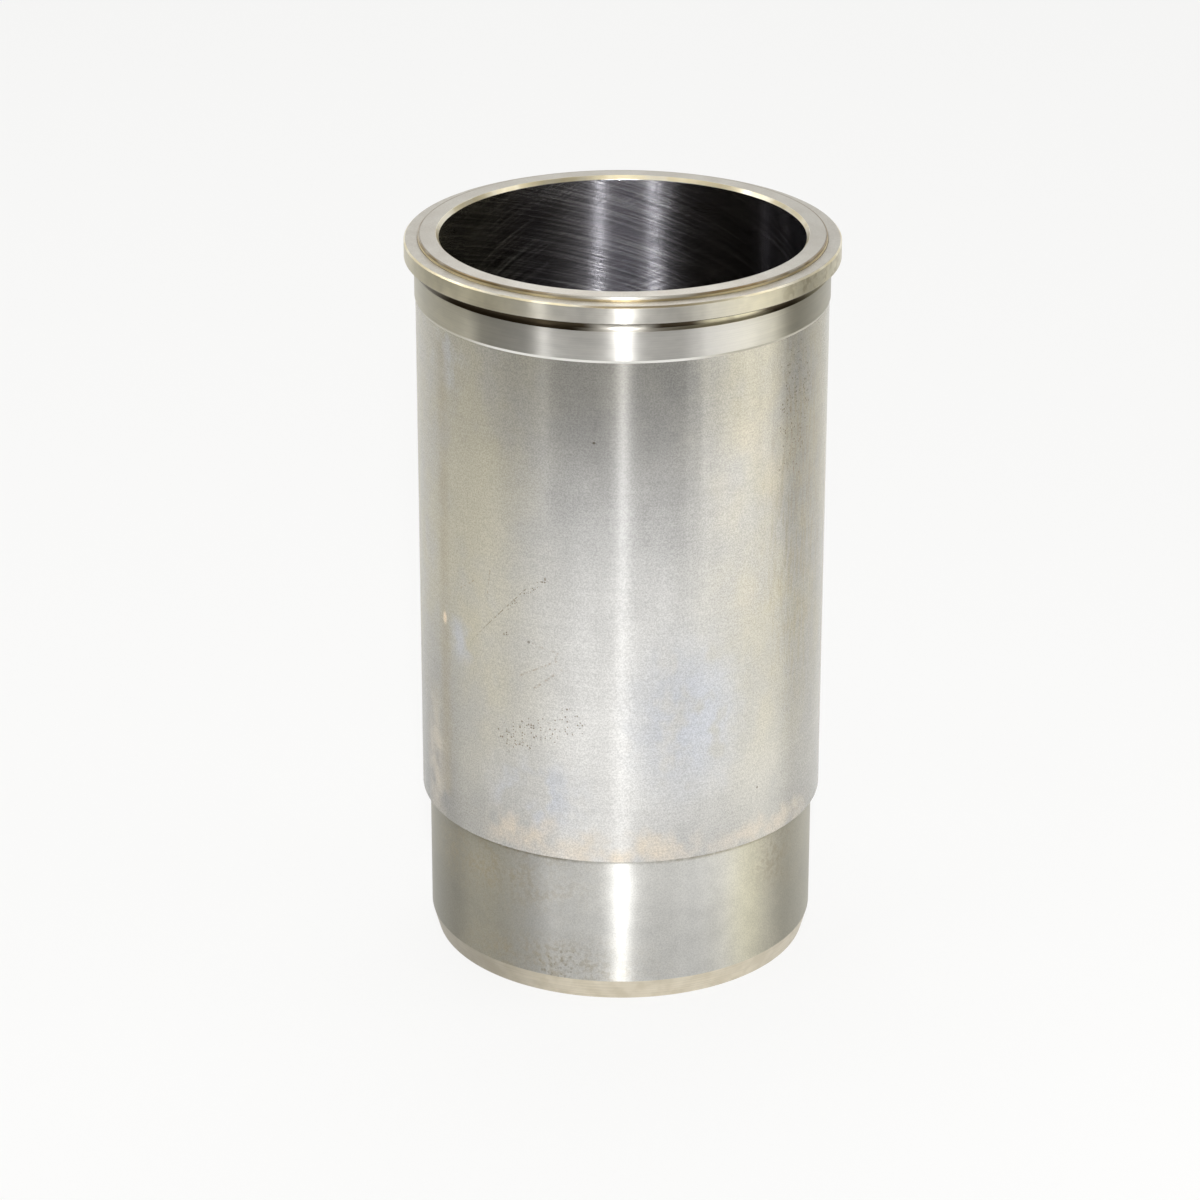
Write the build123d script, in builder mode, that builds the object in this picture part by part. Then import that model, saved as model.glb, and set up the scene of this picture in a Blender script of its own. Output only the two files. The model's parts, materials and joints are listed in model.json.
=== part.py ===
from build123d import *

import os

os.makedirs("parts", exist_ok=True)

# Cylinder liner of the wet kind, turned in one piece. Sizes are in millimetres.
# The bore axis is Z, and the origin is the centre of the bottom end face.

# Bore
bore_diameter = 106.5
mouth_chamfer_width = 0.85
mouth_chamfer_depth = 1.2
lower_bore_chamfer = 1.0

# Outer steps, each measured outward from the one before it
lower_pilot_wall = 4.8
body_step = 2.25
upper_pilot_step = 0.3
flange_overhang = 2.9
fire_ring_wall = 6.05

# Lengths along the axis
total_length = 221.0
fire_ring_height = 1.3
flange_thickness = 5.3
relief_groove_width = 3.1
upper_pilot_length = 8.5
upper_pilot_lead = 0.8
lower_pilot_length = 47.0
base_lead_length = 6.5

# Small forms
base_lead_width = 1.85
relief_groove_depth = 0.8
groove_corner_radius = 0.4
flange_top_chamfer = 0.5
flange_seat_chamfer = 0.25
fire_ring_edge_break = 0.2

# Radii that follow from the bore and the steps
bore_radius = bore_diameter / 2
lower_pilot_radius = bore_radius + lower_pilot_wall
body_radius = lower_pilot_radius + body_step
upper_pilot_radius = body_radius + upper_pilot_step
flange_radius = upper_pilot_radius + flange_overhang
fire_ring_radius = bore_radius + fire_ring_wall
groove_radius = upper_pilot_radius - relief_groove_depth

# Heights that follow from the lengths
land_height = total_length - fire_ring_height
seat_height = land_height - flange_thickness
pilot_top = seat_height - relief_groove_width
pilot_bottom = pilot_top - upper_pilot_length


def rim(height, which):
    """The circular edges at one height, ordered by radius, and the one asked for."""
    circles = liner.edges().filter_by(GeomType.CIRCLE)
    at_height = circles.filter_by_position(Axis.Z, height - 0.001, height + 0.001)
    return at_height.sort_by(SortBy.RADIUS)[which]


with BuildPart() as liner:
    # Half section of the turned wall: up the outside from the base, back down the bore
    with BuildSketch(Plane.XZ):
        with BuildLine():
            Polyline(
                (bore_radius, 0),
                (lower_pilot_radius - base_lead_width, 0),
                (lower_pilot_radius, base_lead_length),
                (lower_pilot_radius, lower_pilot_length),
                (body_radius, lower_pilot_length),
                (body_radius, pilot_bottom - upper_pilot_lead),
                (upper_pilot_radius, pilot_bottom),
                (upper_pilot_radius, seat_height),
                (flange_radius, seat_height),
                (flange_radius, land_height),
                (fire_ring_radius, land_height),
                (fire_ring_radius, total_length),
                (bore_radius + mouth_chamfer_width, total_length),
                (bore_radius, total_length - mouth_chamfer_depth),
                close=True,
            )
        make_face()
    revolve(axis=Axis.Z)

    # Relief groove under the flange, with a slanted lower flank that runs out at the pilot's top edge
    with BuildSketch(Plane.XZ) as groove:
        with BuildLine():
            Polyline(
                (groove_radius, seat_height),
                (groove_radius, pilot_top + relief_groove_depth),
                (upper_pilot_radius + relief_groove_depth, pilot_top - relief_groove_depth),
                (upper_pilot_radius + relief_groove_depth, seat_height),
                close=True,
            )
        make_face()
        fillet(groove.vertices().group_by(Axis.X)[0], radius=groove_corner_radius)
    revolve(axis=Axis.Z, mode=Mode.SUBTRACT)

    # Broken edges: the flange above and below, the fire ring, and the bore's lower end
    chamfer(rim(land_height, -1), length=flange_top_chamfer)
    chamfer(rim(seat_height, -1), length=flange_seat_chamfer)
    chamfer(rim(total_length, -1), length=fire_ring_edge_break)
    chamfer(rim(0, 0), length=lower_bore_chamfer)

liner.part.label = "liner"
export_step(liner.part, "parts/liner.step")
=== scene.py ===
import json
import math

import bpy
from mathutils import Matrix, Vector


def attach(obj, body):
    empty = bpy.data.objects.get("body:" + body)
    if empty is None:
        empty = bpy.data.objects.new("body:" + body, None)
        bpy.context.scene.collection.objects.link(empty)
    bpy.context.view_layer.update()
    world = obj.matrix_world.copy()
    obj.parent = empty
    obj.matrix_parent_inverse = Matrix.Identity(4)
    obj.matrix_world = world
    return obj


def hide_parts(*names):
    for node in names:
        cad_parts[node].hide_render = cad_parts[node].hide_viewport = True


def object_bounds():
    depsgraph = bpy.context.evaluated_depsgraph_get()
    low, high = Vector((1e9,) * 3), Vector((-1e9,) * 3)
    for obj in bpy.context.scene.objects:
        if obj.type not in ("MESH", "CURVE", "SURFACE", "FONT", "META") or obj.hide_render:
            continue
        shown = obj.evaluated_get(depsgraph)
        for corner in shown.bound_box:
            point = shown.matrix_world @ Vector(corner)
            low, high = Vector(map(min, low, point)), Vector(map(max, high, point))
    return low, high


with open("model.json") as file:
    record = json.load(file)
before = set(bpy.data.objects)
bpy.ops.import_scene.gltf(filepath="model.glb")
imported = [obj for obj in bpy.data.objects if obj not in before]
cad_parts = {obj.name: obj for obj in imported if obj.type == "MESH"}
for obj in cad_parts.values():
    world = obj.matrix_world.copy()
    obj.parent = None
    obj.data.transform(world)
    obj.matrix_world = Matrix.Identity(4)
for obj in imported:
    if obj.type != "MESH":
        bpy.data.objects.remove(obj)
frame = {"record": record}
cad_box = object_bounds()

# Cylinder liner, dressed. Lengths are in metres, and MM turns millimetres into them.
# The photo looks along +Y at the side that faces -Y. Angles round the wall are in degrees, start there,
# and grow to the photo's right.
MM = 0.001
DEG = math.pi / 180

# Radii of the fits, from the frame, and the reach of the CAD box
fits = {mount["name"]: mount["dims"] for mount in frame["record"]["mounts"]}
bore_radius = fits["bore"]["r_mm"] * MM
pilot_radius = fits["upper_pilot"]["r_mm"] * MM
skirt_radius = fits["lower_pilot"]["r_mm"] * MM
flange_radius = min(abs(side) for corner in cad_box for side in corner.xy)
total_height = cad_box[1].z

# Steps, lengths and chamfers of the turned profile, which repeat the solid's
pilot_step = 0.3 * MM
groove_depth = 0.8 * MM
ring_wall = 6.05 * MM
ring_rise = 1.3 * MM
flange_thickness = 5.3 * MM
groove_width = 3.1 * MM
pilot_length = 8.5 * MM
pilot_lead = 0.8 * MM
shoulder_height = 47.0 * MM
base_lead_height = 6.5 * MM
base_lead_width = 1.85 * MM
mouth_chamfer_width = 0.85 * MM
mouth_chamfer_depth = 1.2 * MM
bore_foot_chamfer = 1.0 * MM
flange_chamfer = 0.5 * MM
seat_chamfer = 0.25 * MM
ring_chamfer = 0.2 * MM

# Radii and heights that follow from them
body_radius = pilot_radius - pilot_step
groove_radius = pilot_radius - groove_depth
ring_radius = bore_radius + ring_wall
base_outer_radius = skirt_radius - base_lead_width
base_inner_radius = bore_radius + bore_foot_chamfer
mouth_radius = bore_radius + mouth_chamfer_width
mouth_foot = total_height - mouth_chamfer_depth
land_height = total_height - ring_rise
seat_height = land_height - flange_thickness
pilot_top = seat_height - groove_width
pilot_foot = pilot_top - pilot_length
pilot_lead_foot = pilot_foot - pilot_lead

# Faces round the axis, a multiple of four so that the widest points reach the box
around = 512


class Finish:
    """The node tree of one material, with short calls for what the finishes share. Its places are in mm."""

    def __init__(self, name, radius, from_back=False):
        """Angles are measured from the front, or from the back for the inner wall that the photo shows."""
        self.material = bpy.data.materials.new(name)
        self.material.use_nodes = True
        self.tree = self.material.node_tree
        self.tree.nodes.clear()
        self.radius = radius / MM
        metres = self.node("ShaderNodeTexCoord").outputs["Object"]
        self.place = self.vector("SCALE", metres, scale=1 / MM)
        self.x, self.y, self.height = self.split(self.place)
        ahead = self.y if from_back else self.math("MULTIPLY", self.y, -1.0)
        self.angle = self.math("DIVIDE", self.math("ARCTAN2", self.x, ahead), DEG)
        self.aside = self.math("ABSOLUTE", self.angle)
        join = self.node("ShaderNodeCombineXYZ")
        self.feed(join.inputs[0], self.math("MULTIPLY", self.angle, DEG * self.radius))
        self.feed(join.inputs[1], self.height)
        self.flat = join.outputs[0]

    def node(self, kind, **settings):
        made = self.tree.nodes.new(kind)
        for key, value in settings.items():
            setattr(made, key, value)
        return made

    def feed(self, socket, value):
        """Links a socket, or sets its own value."""
        if isinstance(value, bpy.types.NodeSocket):
            self.tree.links.new(value, socket)
        elif socket.type == "RGBA":
            socket.default_value = (*value, 1.0)
        else:
            socket.default_value = value

    def math(self, operation, *values, clamp=False):
        made = self.node("ShaderNodeMath", operation=operation, use_clamp=clamp)
        for socket, value in zip(made.inputs, values):
            self.feed(socket, value)
        return made.outputs[0]

    def vector(self, operation, *values, scale=None):
        made = self.node("ShaderNodeVectorMath", operation=operation)
        for socket, value in zip(made.inputs, values):
            self.feed(socket, value)
        if scale is not None:
            self.feed(made.inputs["Scale"], scale)
        return made.outputs["Value" if operation in ("DOT_PRODUCT", "LENGTH", "DISTANCE") else "Vector"]

    def split(self, value):
        made = self.node("ShaderNodeSeparateXYZ")
        self.feed(made.inputs[0], value)
        return made.outputs

    def ramp(self, value, low, high, out_low=0.0, out_high=1.0):
        """A smooth step between two values."""
        made = self.node("ShaderNodeMapRange", interpolation_type="SMOOTHSTEP")
        for socket, given in zip(made.inputs, (value, low, high, out_low, out_high)):
            self.feed(socket, given)
        return made.outputs[0]

    def vary(self, noise, low, high, reach=0.2):
        """A level that swings between two values with a noise, which mostly stays within reach of 0.5."""
        return self.ramp(noise, 0.5 - reach, 0.5 + reach, low, high)

    def within(self, value, start, full, fade, end):
        """1 from full to fade, with a soft run up to it from start and a soft run down from it to end."""
        return self.both(self.ramp(value, start, full), self.ramp(value, fade, end, 1.0, 0.0))

    def beyond(self, start, end):
        """1 past the span between two angles, to the right or to the left of it, and 0 again at the back."""
        if end > start:
            return self.both(self.ramp(self.angle, start, end), self.ramp(self.angle, 95, 150, 1.0, 0.0))
        return self.both(self.ramp(self.angle, end, start, 1.0, 0.0), self.ramp(self.angle, -150, -95))

    def both(self, first, *others):
        """Where all the masks are."""
        for mask in others:
            first = self.math("MULTIPLY", first, mask)
        return first

    def any(self, first, *others):
        """Where any of the masks is."""
        for mask in others:
            first = self.math("MAXIMUM", first, mask)
        return first

    def dim(self, mask, share):
        """A level of 1 that drops by a share where the mask is."""
        return self.math("MULTIPLY_ADD", mask, -share, 1.0)

    def mix(self, share, first, second):
        made = self.node("ShaderNodeMix", data_type="RGBA")
        self.feed(made.inputs[0], share)
        self.feed(made.inputs[6], first)
        self.feed(made.inputs[7], second)
        return made.outputs[2]

    def tint(self, colour, mask, strength, over):
        """A colour with another one laid over it where the mask is."""
        return self.mix(self.math("MULTIPLY", mask, strength), colour, over)

    def shade(self, colour, level):
        """A colour made darker or lighter by a level."""
        return self.vector("SCALE", colour, scale=level)

    def noise(self, vector, detail, output="Fac"):
        made = self.node("ShaderNodeTexNoise", noise_dimensions="3D")
        self.feed(made.inputs["Vector"], vector)
        self.feed(made.inputs["Scale"], 1.0)
        self.feed(made.inputs["Detail"], detail)
        return made.outputs[output]

    def patches(self, size, detail=2.0, shift=0.0, tall=1.0):
        """Cloudy noise with features of a size, stretched up the wall by tall."""
        gap = (1 / size, 1 / size, 1 / (size * tall))
        return self.noise(self.vector("MULTIPLY_ADD", self.place, gap, (shift, shift, shift)), detail)

    def rings(self, pitch, length):
        """Turning marks: noise that changes every pitch up the wall and every length round it."""
        return self.noise(self.vector("MULTIPLY", self.place, (1 / length, 1 / length, 1 / pitch)), 0.0)

    def hatch(self, slope, pitch, length):
        """Honing marks: lines that climb the wall at a slope in degrees, pitch apart."""
        turn = self.node("ShaderNodeVectorRotate", rotation_type="Z_AXIS")
        self.feed(turn.inputs["Vector"], self.place)
        climb = self.radius * math.tan(slope * DEG)
        self.feed(turn.inputs["Angle"], self.math("MULTIPLY", self.height, -1 / climb))
        lean = math.sin(abs(slope) * DEG)
        gap = (lean / pitch, lean / pitch, 1 / (length * lean))
        return self.noise(self.vector("MULTIPLY", turn.outputs[0], gap), 1.0)

    def warp(self, size, reach):
        """The flat place with its edges made uneven, for spots."""
        drift = self.noise(self.vector("SCALE", self.place, scale=1 / size), 2.0, "Color")
        drift = self.vector("MULTIPLY_ADD", drift, (reach, reach, 0.0), (-reach / 2, -reach / 2, 0.0))
        return self.vector("ADD", self.flat, drift)

    def spot(self, angle, height, wide, tall, soft=0.6, on=None):
        """A patch at an angle and a height, with its half sizes: 1 inside, 0 outside."""
        move = (-angle * DEG * self.radius / wide, -height / tall, 0.0)
        offset = self.vector("MULTIPLY_ADD", on or self.flat, (1 / wide, 1 / tall, 0.0), move)
        return self.ramp(self.vector("LENGTH", offset), 1 - soft, 1 + soft, 1.0, 0.0)

    def stroke(self, start, end, half_width, soft=0.5):
        """A straight mark between two places, each an angle and a height."""
        first = Vector((start[0] * DEG * self.radius, start[1], 0.0))
        run = Vector((end[0] * DEG * self.radius, end[1], 0.0)) - first
        offset = self.vector("SUBTRACT", self.flat, tuple(first))
        along = self.vector("DOT_PRODUCT", offset, tuple(run / run.length_squared))
        nearest = self.vector("SCALE", tuple(run), scale=self.math("MAXIMUM", along, 0.0, clamp=True))
        away = self.vector("DISTANCE", offset, nearest)
        return self.ramp(away, half_width * (1 - soft), half_width * (1 + soft), 1.0, 0.0)

    def specks(self, size, share, fill):
        """Pits about a size apart; share of the places that hold one, fill of each place's width."""
        cells = self.node("ShaderNodeTexVoronoi", voronoi_dimensions="2D", feature="F1")
        self.feed(cells.inputs["Vector"], self.flat)
        self.feed(cells.inputs["Scale"], 1 / size)
        chosen = self.split(cells.outputs["Color"])
        picked = self.math("LESS_THAN", chosen[0], share)
        width = self.math("MULTIPLY_ADD", chosen[1], fill, 0.4 * fill)
        inside = self.ramp(self.math("DIVIDE", cells.outputs["Distance"], width), 0.6, 1.1, 1.0, 0.0)
        return self.math("MULTIPLY", picked, inside)

    def bump(self, height, depth):
        """Raises the surface by a height times a depth in mm."""
        made = self.node("ShaderNodeBump")
        self.feed(made.inputs["Strength"], 1.0)
        self.feed(made.inputs["Distance"], depth * MM)
        self.feed(made.inputs["Height"], height)
        return made.outputs[0]

    def metal(self, colour, roughness, metallic, normal=None, grain=0.0, across=None):
        """The surface shader. Grain is how much rougher the metal is across its marks than along them.
        The marks run round the axis, unless the direction across them is given."""
        made = self.node("ShaderNodeBsdfPrincipled")
        self.feed(made.inputs["Base Color"], colour)
        self.feed(made.inputs["Roughness"], roughness)
        self.feed(made.inputs["Metallic"], metallic)
        if grain:
            made.inputs["Anisotropic"].default_value = grain
            if across is None:
                made.inputs["Anisotropic Rotation"].default_value = 0.25
                across = self.round_way()
            self.feed(made.inputs["Tangent"], across)
        if normal:
            self.feed(made.inputs["Normal"], normal)
        output = self.node("ShaderNodeOutputMaterial")
        self.feed(output.inputs["Surface"], made.outputs[0])
        return self.material

    def round_way(self):
        """The direction round the axis."""
        return self.node("ShaderNodeTangent", direction_type="RADIAL", axis="Z").outputs[0]


# Finishes
def body_film(f, mottle):
    """The body's colour: bright in front, with a warm old film at its sides and top."""
    bright, filmed = (0.79, 0.785, 0.775), (0.73, 0.69, 0.555)
    warm = f.math("ADD", f.ramp(f.aside, 10, 45), f.ramp(f.height, 150, 205, 0.0, 0.4), clamp=True)
    warm = f.both(warm, f.ramp(f.height, 50, 110, 0.35, 1.0), f.ramp(mottle, 0.35, 0.6, 0.5, 1.0))
    return f.mix(warm, bright, filmed)


def body_painted_shade(f):
    """Painted light and shade on the body: darker at the top near the front, beside the middle, at the
    limbs, towards the foot and in a few soft spots, and a little lighter in a band to the right.
    """
    # Painted shade at the top of the body, strongest left of the front
    painted_top_shade = f.both(f.ramp(f.angle, -60, -14, 0.06, 0.52), f.ramp(f.angle, 10, 40, 1.0, 0.1))
    painted_top_shade = f.both(painted_top_shade, f.ramp(f.height, 113, 214))
    low = f.ramp(f.height, 60, 130, 1.0, 0.0)
    beside = f.any(f.within(f.angle, 2, 10, 14, 28), f.beyond(-14, -26))
    limb = f.both(f.within(f.aside, 48, 58, 68, 86), f.any(low, f.ramp(f.angle, 0, 10)))
    # A band of painted shade left of the middle, stronger higher up
    dull = f.both(f.within(f.angle, -42, -30, -16, -8), f.ramp(f.height, 82, 105, 0.5, 1.0))
    foot = f.both(f.ramp(f.height, 50, 74, 1.0, 0.0), f.any(f.beyond(-2, 6), f.beyond(-12, -20)))
    high = f.any(f.spot(-13, 196, 7, 20, 0.9), f.both(f.spot(30, 194, 10, 16, 0.9), 0.6))
    # Painted shade from all these masks, and painted light in the band from 32 to 46 degrees right
    return f.both(
        f.ramp(f.aside, 25, 60, 1.0, 0.88),
        f.dim(painted_top_shade, 1.0),
        f.dim(f.beyond(8, 28), 0.22),
        f.dim(f.beyond(32, 46), -0.13),
        f.dim(f.beyond(-18, -50), 0.15),
        f.dim(limb, 0.2),
        f.dim(f.both(low, beside), 0.15),
        f.dim(f.any(dull, foot), 0.15),
        f.dim(f.spot(3, 143, 17, 17, 0.9), 0.08),
        f.dim(high, 0.22),
        f.dim(f.spot(20, 90, 14, 20, 0.9), 0.06),
    )


def body_clouds(f, colour, broad, small):
    """Pale blue and tan clouds and brown runs with uneven edges, and one small painted highlight on the
    left.
    """
    pale_blue, sand = (0.585, 0.605, 0.655), (0.79, 0.685, 0.545)
    brown, painted_glint_tone = (0.42, 0.36, 0.24), (0.88, 0.74, 0.55)
    uneven = f.warp(6.0, 12.0)
    blue = f.any(
        f.both(f.spot(19, 92, 14, 20, 0.8, uneven), f.ramp(small, 0.3, 0.52)),
        f.both(f.spot(-51, 108, 3.5, 6, 0.8, uneven), 0.8),
        f.both(f.spot(-56, 194, 7, 8, 0.8, uneven), f.ramp(small, 0.36, 0.6), 0.6),
        f.both(f.spot(-24, 66, 12, 10, 0.8, uneven), f.ramp(small, 0.38, 0.6)),
    )
    tan = f.any(
        f.both(f.spot(-29, 54, 10, 5, 0.95, uneven), f.ramp(small, 0.3, 0.62)),
        f.both(f.spot(0, 50, 22, 4.5, 0.95, uneven), f.ramp(small, 0.3, 0.62)),
        f.both(f.spot(46, 50, 18, 3.5, 0.95, uneven), f.ramp(small, 0.32, 0.62), 0.75),
        f.both(f.spot(40, 150, 11, 24, 0.8, uneven), f.ramp(broad, 0.4, 0.6, 0.0, 0.5)),
        f.both(f.spot(-66, 64, 5, 16, 0.95, uneven), f.ramp(small, 0.3, 0.6), 0.7),
    )
    runs = f.any(
        f.both(f.ramp(f.patches(1.1, 2.0, 5.0, 7), 0.46, 0.62), f.spot(60, 150, 15, 55, on=uneven)),
        f.both(f.stroke((-59, 195), (-59, 58), 2.6, 0.9), f.ramp(small, 0.3, 0.6, 0.4, 0.9)),
    )
    colour = f.tint(colour, blue, 0.95, pale_blue)
    colour = f.tint(colour, tan, 0.72, sand)
    colour = f.tint(colour, runs, 0.42, brown)
    # A small pale spot on the left is a painted highlight
    return f.mix(f.spot(-58.9, 112.4, 1.0, 1.8), colour, painted_glint_tone)


def body_scratches(f, colour, broken):
    """Fine brown scratches and a nick. A scratch has two ends, as angle and height, and its half width."""
    brown = (0.36, 0.28, 0.19)
    scratches = (
        ((-25, 114.3), (-17.5, 112.6), 0.2),
        ((-17.8, 112.4), (-18.6, 108.8), 0.2),
        ((-16.5, 107.5), (-24.5, 100.5), 0.3),
        ((-18, 110), (-29, 103.5), 0.25),
        ((-38.8, 134), (-40, 124.8), 0.2),
        ((-45, 129), (-50.5, 125), 0.22),
        ((52, 187), (55, 160), 0.25),
    )
    nick = f.spot(10.5, 55.5, 0.9, 0.5)
    marks = f.any(nick, *(f.stroke(start, end, half_width, 0.9) for start, end, half_width in scratches))
    return f.tint(colour, f.both(marks, broken), 0.5, brown)


def body_pits(f, colour, broken):
    """Clusters of fine rust pits, a dotted line that climbs to the right, and three larger pits."""
    rust, dark_rust = (0.20, 0.15, 0.09), (0.12, 0.09, 0.06)
    clusters = f.any(
        f.both(f.stroke((-32, 83), (-14, 91), 3.6, 0.6), 0.34),
        f.both(f.stroke((-33, 82), (-26, 81.5), 0.9, 0.6), 0.8),
        f.both(f.spot(61, 186, 2.5, 6.0), 0.4),
        f.both(f.spot(55, 180, 7, 20), 0.16),
        f.both(f.stroke((-33, 124), (-21, 135), 0.6), 0.6),
        f.both(f.spot(-33.7, 116, 1.2, 0.9), 0.6),
    )
    dotted = f.both(f.stroke((-46, 110), (-27, 131), 0.15), broken, f.ramp(f.height, 110, 122, 0.4, 0.9))
    large = f.any(
        f.spot(-7.5, 178.1, 0.42, 0.36, 0.3),
        f.both(f.spot(-26.2, 114.6, 0.5, 0.42, 0.4), 0.8),
        f.both(f.spot(41.7, 64.3, 0.35, 0.35, 0.4), 0.8),
    )
    colour = f.tint(colour, f.any(f.specks(0.75, clusters, 0.36), dotted), 0.75, rust)
    return f.tint(colour, large, 0.8, dark_rust)


def body_finish():
    """Satin turned wall under a partly metallic film, with clouds, scratches and pits."""
    f = Finish("turned_body", body_radius)
    broad = f.patches(26, shift=3.0, tall=1.5)
    small = f.patches(7, shift=8.0, tall=1.3)
    mottle = f.math("MULTIPLY_ADD", small, 0.3, f.math("MULTIPLY", broad, 0.7))
    broken = f.ramp(f.patches(1.1, 1.0, 4.0), 0.38, 0.6)
    marks = f.rings(0.55, 45.0)
    grit = f.patches(0.42, 1.0, 2.0)
    # The film's colour, with painted light and shade laid over it
    colour = f.shade(body_film(f, mottle), f.both(body_painted_shade(f), f.vary(mottle, 0.93, 1.07)))
    colour = body_clouds(f, colour, broad, small)
    colour = body_scratches(f, colour, broken)
    colour = body_pits(f, colour, broken)
    colour = f.shade(colour, f.both(f.vary(grit, 0.84, 1.16, 0.25), f.vary(marks, 0.98, 1.02)))
    bare = f.both(f.ramp(f.height, 90, 214, 0.2, 0.66), f.dim(f.beyond(-7, -15), 0.5))
    bare = f.both(bare, f.vary(mottle, 1.1, 0.9))
    return f.metal(colour, f.vary(grit, 0.262, 0.232), bare, f.bump(marks, 0.002), grain=1.0)


def ground_finish():
    """The upper pilot: a finely ground band."""
    f = Finish("ground_silver", pilot_radius)
    marks = f.rings(0.3, 30.0)
    film = f.patches(9, shift=1.0, tall=0.4)
    silver, filmed = (0.74, 0.725, 0.69), (0.66, 0.625, 0.50)
    colour = f.mix(f.ramp(f.aside, 15, 55), silver, filmed)
    shadow = f.any(f.within(f.angle, -47, -40, -28, -20), f.beyond(44, 55), f.both(f.beyond(-55, -70), 0.7))
    colour = f.shade(colour, f.dim(shadow, 0.38))
    colour = f.shade(colour, f.both(f.vary(film, 0.92, 1.05), f.vary(marks, 0.97, 1.03, 0.25)))
    return f.metal(colour, f.vary(film, 0.34, 0.39), 0.87, f.bump(marks, 0.004), grain=1.0)


def flange_finish():
    """The flange's side: ground, with a warmer film and a few handling stains."""
    f = Finish("flange_silver", flange_radius)
    marks = f.rings(0.3, 30.0)
    film = f.patches(6, shift=12.0, tall=0.8)
    silver, filmed, brown = (0.75, 0.73, 0.68), (0.68, 0.63, 0.47), (0.42, 0.36, 0.22)
    colour = f.mix(f.ramp(f.aside, 8, 40), silver, filmed)
    stain = f.both(f.ramp(f.patches(3, shift=6.0), 0.5, 0.62), f.beyond(40, 52))
    colour = f.tint(colour, stain, 0.55, brown)
    # Painted shade: a little darker towards the right limb and more towards the left one
    colour = f.shade(colour, f.both(f.dim(f.beyond(46, 56), 0.08), f.dim(f.beyond(-55, -70), 0.15)))
    colour = f.shade(colour, f.both(f.vary(film, 0.88, 1.05), f.vary(marks, 0.97, 1.03, 0.25)))
    return f.metal(colour, f.vary(film, 0.34, 0.39), 0.87, f.bump(marks, 0.004), grain=1.0)


def skirt_finish():
    """The lower pilot: bright turned iron with olive stains, a dark brown band just under the shoulder and a
    blot.
    """
    f = Finish("turned_skirt", skirt_radius)
    marks = f.rings(0.42, 30.0)
    film = f.patches(8, shift=4.0, tall=0.8)
    specked = f.patches(1.5, 3.0, 9.0)
    grit = f.patches(0.42, 1.0, 2.0)
    silver, filmed = (0.72, 0.715, 0.69), (0.53, 0.505, 0.415)
    colour = f.mix(f.ramp(f.aside, 20, 44), silver, filmed)
    # Painted shade: darker left of the front, towards both limbs and in a narrow band right of the front;
    # the colour also gets lighter up the skirt
    band = f.within(f.angle, 17, 23, 27, 34)
    level = f.both(f.dim(f.beyond(-9, -29), 0.28), f.ramp(f.aside, 48, 60, 1.0, 0.76), f.dim(band, 0.14))
    colour = f.shade(colour, f.both(level, f.ramp(f.height, 18, 42, 0.94, 1.1)))

    gold, olive = (0.70, 0.67, 0.50), (0.38, 0.33, 0.235)
    brown, dark_olive = (0.22, 0.18, 0.10), (0.24, 0.21, 0.14)
    golden = f.both(f.spot(41, 28, 6, 24, 0.9), 0.5)
    stain = f.any(f.spot(-44, 37, 26, 11, 0.95), f.spot(54, 37, 10, 9, 0.9), f.spot(-25, 9, 26, 9, 0.95))
    stain = f.both(stain, f.ramp(specked, 0.4, 0.62, 0.25, 1.0), f.ramp(film, 0.35, 0.65, 0.4, 1.0))
    # A dark brown band just under the shoulder, lighter in front
    shoulder_band = f.both(f.ramp(specked, 0.3, 0.6, 0.5, 1.0), f.ramp(f.aside, 4, 20, 0.3, 1.0))
    shoulder_band = f.both(shoulder_band, f.ramp(f.height, 44.6, 45.7))
    blot = f.specks(1.0, f.both(f.spot(-18, 10.5, 4.6, 4.0, 0.7), 0.7), 0.45)
    colour = f.mix(golden, colour, gold)
    colour = f.tint(colour, stain, 0.7, olive)
    colour = f.tint(colour, shoulder_band, 0.6, brown)
    colour = f.tint(colour, blot, 0.4, dark_olive)
    colour = f.shade(colour, f.both(f.vary(film, 0.94, 1.05), f.vary(grit, 0.9, 1.1, 0.25)))
    return f.metal(colour, f.vary(film, 0.34, 0.38), 0.78, f.bump(marks, 0.003), grain=1.0)


def top_finish():
    """The matt ring top and ledge, with old oil along the ring's edge and foot."""
    f = Finish("faced_top", ring_radius)
    film = f.patches(7, shift=5.0)
    fine = f.patches(0.5, 1.0, 1.0)
    out = f.vector("LENGTH", f.vector("MULTIPLY", f.place, (1.0, 1.0, 0.0)))
    edge = (ring_radius - ring_chamfer) / MM
    foot = ring_radius / MM
    edge_oil = f.both(f.ramp(out, edge - 0.5, edge - 0.1), f.ramp(film, 0.3, 0.6, 0.6, 1.0))
    foot_oil = f.ramp(out, foot + 0.15, foot + 0.55, 1.0, 0.0)
    dull, clean, old_oil = (0.57, 0.535, 0.475), (0.65, 0.625, 0.57), (0.15, 0.11, 0.06)
    shadow = f.both(f.ramp(f.aside, 10, 80, 1.0, 0.78), f.dim(f.beyond(20, 80), 0.1))
    colour = f.mix(f.ramp(film, 0.3, 0.7), dull, clean)
    colour = f.shade(colour, f.both(f.vary(fine, 0.94, 1.06), shadow))
    colour = f.tint(colour, f.both(edge_oil, foot_oil), 0.8, old_oil)
    return f.metal(colour, f.vary(film, 0.4, 0.48), 0.85, f.bump(fine, 0.006))


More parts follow.
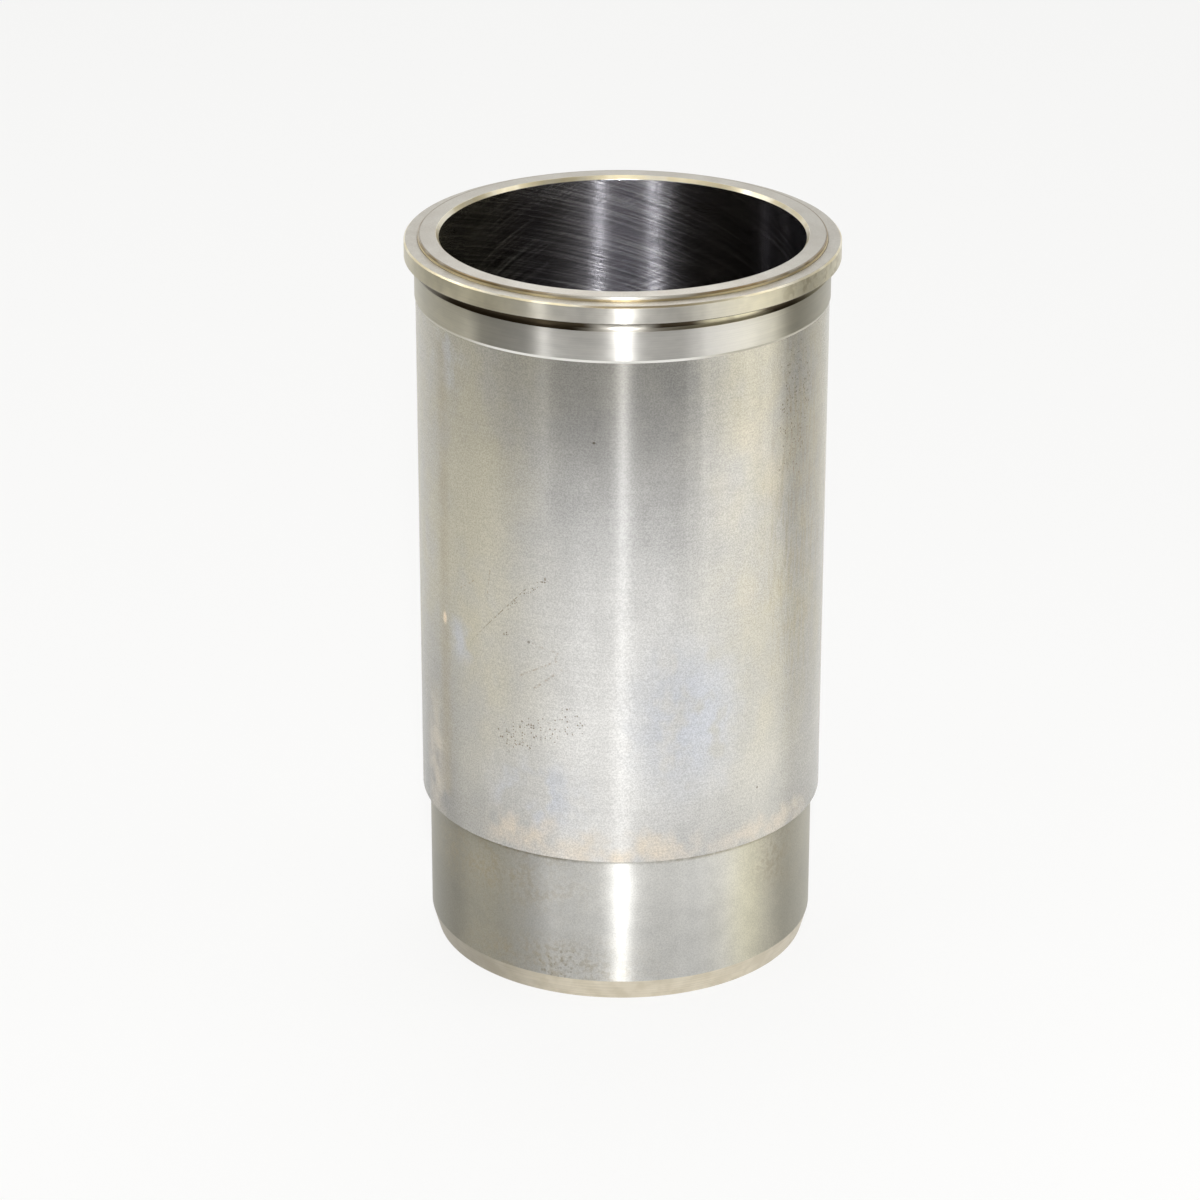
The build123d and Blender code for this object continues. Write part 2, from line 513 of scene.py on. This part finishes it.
def edge_finish():
    """Broken edges with a golden film, browner in front as a painted dark reflection, and the pilot's lead,
    lighter in front as a painted highlight.
    """
    f = Finish("worn_edge", flange_radius)
    wear = f.patches(9, shift=3.0)
    gold, pale_gold, brown = (0.72, 0.64, 0.44), (0.84, 0.79, 0.65), (0.38, 0.29, 0.17)
    dull, bright = (0.50, 0.475, 0.39), (0.85, 0.84, 0.80)
    golden = f.mix(f.ramp(wear, 0.4, 0.65), gold, pale_gold)
    # Painted dark reflection: the edges turn brown in front
    golden = f.tint(golden, f.within(f.angle, -13, -6, 14, 22), 0.75, brown)
    # Painted highlight: the pilot's lead is light in front and dull round the sides
    lead = f.mix(f.within(f.angle, -52, -34, 14, 32), dull, bright)
    colour = f.mix(f.ramp(f.height, pilot_foot / MM, seat_height / MM), lead, golden)
    return f.metal(colour, f.vary(wear, 0.37, 0.3), 0.8)


def ring_finish():
    """The fire ring's low side: pale silver in front as a painted highlight, and aged dark brown over gold
    round the sides.
    """
    f = Finish("golden_ring", ring_radius)
    film = f.patches(11, shift=7.0)
    # Pale silver in front is a painted highlight; round the sides the aged film turns the colour brown and
    # gold
    aged_beside_highlight = f.both(f.ramp(f.aside, 6, 24), f.ramp(film, 0.3, 0.6, 0.5, 1.0))
    silver, brown = (0.86, 0.85, 0.80), (0.34, 0.25, 0.13)
    bronze, gold = (0.50, 0.41, 0.25), (0.84, 0.73, 0.46)
    parting = total_height / MM - 0.7
    upper, lower = f.mix(aged_beside_highlight, silver, brown), f.mix(aged_beside_highlight, bronze, gold)
    colour = f.mix(f.ramp(f.height, parting - 0.12, parting + 0.12, 1.0, 0.0), upper, lower)
    return f.metal(colour, 0.42, 0.85, grain=0.9)


def groove_finish():
    """The relief groove, the flange's underside and the shoulder: dark brown painted shade, left off in
    places on the groove's root and flank.
    """
    f = Finish("shaded_groove", groove_radius)
    film = f.patches(6, shift=2.0)
    groove_shade, bright, filmed = (0.10, 0.078, 0.05), (0.80, 0.77, 0.70), (0.72, 0.67, 0.48)
    # Where the painted shade is left off: the groove's root in front, right of the front and partly at the
    # sides, and its lower flank in front, all below the flange's rim
    root = f.any(
        f.ramp(f.aside, 5, 11, 1.0, 0.0),
        f.within(f.angle, 18, 26, 36, 44),
        f.both(f.within(f.aside, 51, 62, 80, 110), 0.4),
    )
    flank_top = pilot_top / MM + 0.75
    flank = f.both(
        f.within(f.angle, -14, -7, 38, 46),
        f.ramp(f.height, flank_top - 0.12, flank_top + 0.12, 1.0, 0.0),
    )
    rim = seat_height / MM
    below_rim = f.ramp(f.height, rim - 0.8, rim - 0.4, 1.0, 0.0)
    unshaded = f.both(f.any(root, flank), f.ramp(film, 0.25, 0.5, 0.75, 1.0), below_rim)
    # Dark brown painted shade, except where it is left off
    colour = f.mix(unshaded, groove_shade, f.mix(f.ramp(f.angle, 8, 24), bright, filmed))
    return f.metal(colour, f.vary(film, 0.42, 0.36), 1.0, grain=0.9)


def bore_finish():
    """Dark honed wall: two families of crossing lines that split the light into two streaks."""
    f = Finish("honed_bore", bore_radius, from_back=True)
    rise, fall = 17.5, 25.5
    rising = f.hatch(rise, 0.17, 12.0)
    falling = f.hatch(-fall, 0.17, 12.0)
    lines = f.any(rising, falling)
    broad = f.hatch(rise, 0.7, 40.0)
    scores = f.hatch(-fall, 0.6, 60.0)
    grit = f.patches(0.1, 0.0, 5.0)

    lead = f.math("MULTIPLY_ADD", f.math("SUBTRACT", rising, falling), 0.4, grit)
    lean = f.ramp(lead, 0.47, 0.53, -math.sin(fall * DEG), math.sin(rise * DEG))
    upright = (0.0, 0.0, math.cos(rise * DEG))
    across = f.vector("ADD", f.vector("SCALE", f.round_way(), scale=lean), upright)

    cold, olive = (0.65, 0.64, 0.695), (0.62, 0.58, 0.43)
    # Painted shade: darker right of the middle and a little darker left of it. The colour also halves
    # towards the front of the bore.
    level = f.both(
        f.ramp(broad, 0.4, 0.7, 0.75, 1.4),
        f.ramp(lines, 0.45, 0.72, 0.7, 1.5),
        f.dim(f.beyond(-12, -34), 0.25),
        f.dim(f.beyond(12, 30), 0.55),
        f.ramp(f.aside, 85, 130, 1.0, 0.5),
    )
    colour = f.shade(f.mix(f.beyond(-10, -60), cold, olive), level)
    polished = f.any(f.beyond(11, 28), f.both(f.beyond(-12, -34), 0.7))
    sheen = f.both(f.dim(polished, 0.5), 0.25)
    scored = f.both(f.ramp(scores, 0.45, 0.68), f.within(f.angle, -66, -44, -38, -18))
    return f.metal(colour, sheen, f.dim(scored, 0.085), f.bump(lines, 0.001), 1.0, across)


def base_finish():
    """The lead at the foot and the lower end face, with a tan film; the colour is darker left of the front
    and a little darker right of it.
    """
    f = Finish("tan_base", base_outer_radius)
    film = f.patches(4, shift=6.0)
    marks = f.rings(0.3, 20.0)
    dull, clean = (0.62, 0.56, 0.44), (0.72, 0.66, 0.54)
    level = f.both(f.dim(f.beyond(-8, -48), 0.43), f.dim(f.beyond(40, 52), 0.1))
    level = f.both(level, f.vary(marks, 0.95, 1.05, 0.25))
    colour = f.shade(f.mix(f.ramp(film, 0.3, 0.7), dull, clean), level)
    return f.metal(colour, f.vary(film, 0.42, 0.5), 0.75, f.bump(marks, 0.008))


# Liner mesh
def corner(radius, height, rounding, zone):
    """A corner of the half section, the radius in mm that breaks it, and the finish of what follows it."""
    return Vector((radius, height)), rounding * MM, zone


def half_section():
    """The turned wall's corners, from the foot of the bore out and up, and back down the bore."""
    return [
        corner(base_inner_radius, 0.0, 0.1, "base"),
        corner(base_outer_radius, 0.0, 0.25, "base"),
        corner(skirt_radius, base_lead_height, 0.6, "skirt"),
        corner(skirt_radius, shoulder_height, 0.05, "groove"),
        corner(body_radius, shoulder_height, 0.12, "body"),
        corner(body_radius, pilot_lead_foot, 0.1, "edge"),
        corner(pilot_radius, pilot_foot, 0.1, "ground"),
        corner(pilot_radius, pilot_top, 0.06, "groove"),
        corner(groove_radius, pilot_top + groove_depth, 1.4, "groove"),
        corner(groove_radius, seat_height, 0.3, "groove"),
        corner(flange_radius - seat_chamfer, seat_height, 0.05, "groove"),
        corner(flange_radius, seat_height + seat_chamfer, 0.08, "flange"),
        corner(flange_radius, land_height - flange_chamfer, 0.12, "edge"),
        corner(flange_radius - flange_chamfer, land_height, 0.12, "top"),
        corner(ring_radius, land_height, 0.08, "ring"),
        corner(ring_radius, total_height - ring_chamfer, 0.06, "ring"),
        corner(ring_radius - ring_chamfer, total_height, 0.06, "top"),
        corner(mouth_radius, total_height, 0.12, "edge"),
        corner(bore_radius, mouth_foot, 0.3, "bore"),
        corner(bore_radius, bore_foot_chamfer, 0.15, "base"),
    ]


def outward(step):
    """The normal on the outer side of a stretch of the section."""
    way = step.normalized()
    return Vector((way.y, -way.x))


def rounded_section(corners, arc_step=20 * DEG):
    """Breaks each corner with an arc. Gives points, their normals, and the finish of what follows each."""
    points, normals, zones = [], [], []
    for i, (here, rounding, zone) in enumerate(corners):
        before = here - corners[i - 1][0]
        after = corners[(i + 1) % len(corners)][0] - here
        first, last = outward(before), outward(after)
        turn = math.atan2(first.x * last.y - first.y * last.x, first.dot(last))
        reach = rounding * math.tan(abs(turn) / 2)
        start = here - before.normalized() * reach
        side = math.copysign(1.0, turn)
        centre = start - first * rounding * side
        steps = max(2, math.ceil(abs(turn) / arc_step))
        for k in range(steps + 1):
            normal = Matrix.Rotation(turn * k / steps, 2) @ first
            points.append(centre + normal * rounding * side)
            normals.append(normal)
            zones.append(zone)
    return points, normals, zones


def revolve(section):
    """Turns the points or the normals of the half section round the axis."""
    turns = [2 * math.pi * i / around for i in range(around)]
    return [(at.x * math.cos(turn), at.x * math.sin(turn), at.y) for turn in turns for at in section]


def ring_faces(count):
    """The faces between each turn of count points and the next, and between the last turn and the first."""
    faces = []
    for i in range(around):
        here, there = i * count, (i + 1) % around * count
        for j in range(count):
            up = (j + 1) % count
            faces.append((here + j, there + j, there + up, here + up))
    return faces


def make_liner(finishes):
    """The one piece, which takes the plain node's place."""
    points, normals, zones = rounded_section(half_section())
    mesh = bpy.data.meshes.new("liner_dressed")
    mesh.from_pydata(revolve(points), [], ring_faces(len(points)))
    names = list(finishes)
    for name in names:
        mesh.materials.append(finishes[name])
    mesh.polygons.foreach_set("material_index", [names.index(zone) for zone in zones] * around)
    mesh.polygons.foreach_set("use_smooth", [True] * len(mesh.polygons))
    mesh.update()
    mesh.normals_split_custom_set_from_vertices(revolve(normals))
    liner = bpy.data.objects.new("liner_dressed", mesh)
    bpy.context.scene.collection.objects.link(liner)
    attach(liner, "root")
    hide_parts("liner")


# Camera and studio
def make_camera():
    """The photo's camera, solved from the rims' ellipses and the two sides of the outline."""
    lens, sensor = 126.1, 36.0
    place = Vector((0.0, -1.1613, 0.5997))
    pitch, yaw, roll = 0.40284, -0.00553, 0.00150
    ahead = Vector((math.sin(yaw) * math.cos(pitch), math.cos(yaw) * math.cos(pitch), -math.sin(pitch)))
    level = Vector((math.cos(yaw), -math.sin(yaw), 0.0))
    upward = level.cross(ahead)
    right = level * math.cos(roll) + upward * math.sin(roll)
    top = upward * math.cos(roll) - level * math.sin(roll)
    data = bpy.data.cameras.new("camera")
    data.lens, data.sensor_width = lens, sensor
    camera = bpy.data.objects.new("camera", data)
    camera.matrix_world = Matrix.Translation(place) @ Matrix((right, top, -ahead)).transposed().to_4x4()
    bpy.context.scene.collection.objects.link(camera)
    bpy.context.scene.camera = camera


def make_floor():
    """A wide white floor whose far front, beyond the photo's lower edge, falls off to grey."""
    half = 4.0
    gap = 0.05 * MM
    grey, white = (0.25, 0.245, 0.235), (0.97, 0.97, 0.965)
    glow_share = 0.86
    mesh = bpy.data.meshes.new("floor")
    corners = [(-half, -half, 0), (half, -half, 0), (half, half, 0), (-half, half, 0)]
    mesh.from_pydata(corners, [], [(0, 1, 2, 3)])
    floor = bpy.data.objects.new("floor", mesh)
    floor.location.z = -gap
    bpy.context.scene.collection.objects.link(floor)
    f = Finish("floor_white", flange_radius)
    # Painted shade: the floor fades to grey beyond its near part in front and beyond its sides, which widen
    # behind
    front_grey, front_white, side_white, side_grey, widening = -500, -370, 340, 500, 0.6
    behind = f.math("MAXIMUM", f.y, 0.0)
    spread = f.math("SUBTRACT", f.math("ABSOLUTE", f.x), f.math("MULTIPLY", behind, widening))
    near = f.both(f.ramp(f.y, front_grey, front_white), f.ramp(spread, side_white, side_grey, 1.0, 0.0))
    colour = f.mix(near, grey, white)
    diffuse = f.node("ShaderNodeBsdfDiffuse")
    f.feed(diffuse.inputs["Color"], colour)
    glow = f.node("ShaderNodeEmission")
    f.feed(glow.inputs["Color"], colour)
    rays = f.node("ShaderNodeLightPath").outputs
    seen = f.any(rays["Is Camera Ray"], rays["Is Glossy Ray"], rays["Is Transmission Ray"])
    blend = f.node("ShaderNodeMixShader")
    f.feed(blend.inputs[0], f.math("MULTIPLY", seen, glow_share))
    f.feed(blend.inputs[1], diffuse.outputs[0])
    f.feed(blend.inputs[2], glow.outputs[0])
    output = f.node("ShaderNodeOutputMaterial")
    f.feed(output.inputs["Surface"], blend.outputs[0])
    mesh.materials.append(f.material)


def make_world():
    """A pale room, darker behind the photographer."""
    dark, pale = (0.15, 0.14, 0.115, 1.0), (0.97, 0.97, 0.96, 1.0)
    dark_until, pale_from = 0.35, 0.75
    world = bpy.data.worlds.new("studio")
    bpy.context.scene.world = world
    world.use_nodes = True
    tree = world.node_tree
    tree.nodes.clear()
    way = tree.nodes.new("ShaderNodeTexCoord")
    split = tree.nodes.new("ShaderNodeSeparateXYZ")
    tree.links.new(way.outputs["Generated"], split.inputs[0])
    level = tree.nodes.new("ShaderNodeMapRange")
    level.interpolation_type = "SMOOTHSTEP"
    level.inputs["From Min"].default_value = dark_until
    level.inputs["From Max"].default_value = pale_from
    tree.links.new(split.outputs["Y"], level.inputs["Value"])
    tone = tree.nodes.new("ShaderNodeMix")
    tone.data_type = "RGBA"
    tone.inputs[6].default_value = dark
    tone.inputs[7].default_value = pale
    tree.links.new(level.outputs[0], tone.inputs[0])
    background = tree.nodes.new("ShaderNodeBackground")
    tree.links.new(tone.outputs[2], background.inputs["Color"])
    output = tree.nodes.new("ShaderNodeOutputWorld")
    tree.links.new(background.outputs[0], output.inputs["Surface"])


def make_lamp(name, azimuth, elevation, distance, width, height, level):
    """A soft rectangle of light that faces the liner's middle. Angles are in degrees and lengths in metres,
    and level is its brightness, where 1 is white."""
    data = bpy.data.lights.new(name, "AREA")
    data.shape = "RECTANGLE"
    data.size, data.size_y = width, height
    data.energy = level * math.pi * width * height
    lamp = bpy.data.objects.new(name, data)
    turn, lift = azimuth * DEG, elevation * DEG
    way = Vector((math.sin(turn) * math.cos(lift), -math.cos(turn) * math.cos(lift), math.sin(lift)))
    lamp.location = Vector((0, 0, total_height / 2)) + way * distance
    lamp.rotation_mode = "QUATERNION"
    lamp.rotation_quaternion = way.to_track_quat("Z", "Y")
    lamp.visible_camera = False
    bpy.context.scene.collection.objects.link(lamp)


def make_lamps():
    """A narrow key in front, strips side by side on the right, and broad soft ones from above and behind."""
    make_lamp("key", 0.7, 30, 1.5, 0.05, 0.3, 207.0)
    make_lamp("left", -40, 22, 0.45, 0.04, 0.2, 3.3)
    make_lamp("high_front", 0.7, 57, 1.5, 0.35, 0.2, 6.5)
    distance = 0.42
    for azimuth, span, level in ((37, 8, 0.5), (46, 10, 1.3), (62, 22, 1.62), (79, 12, 1.2), (89, 8, 0.6)):
        make_lamp("right", azimuth, 0, distance, distance * span * DEG, 0.3, level)
    make_lamp("overhead", 180, 62, 1.6, 1.2, 1.2, 1.3)
    make_lamp("high_left", -58, 61, 1.2, 0.35, 0.3, 3.5)
    make_lamp("back_left", -108, 41, 1.2, 0.5, 0.22, 5.0)
    make_lamp("high_right", 92, 46, 1.2, 0.4, 0.3, 3.0)


make_camera()
make_floor()
make_world()
make_lamps()
make_liner(
    {
        "body": body_finish(),
        "ground": ground_finish(),
        "flange": flange_finish(),
        "skirt": skirt_finish(),
        "top": top_finish(),
        "edge": edge_finish(),
        "ring": ring_finish(),
        "groove": groove_finish(),
        "bore": bore_finish(),
        "base": base_finish(),
    }
)

bpy.context.scene.view_settings.view_transform = "Standard"
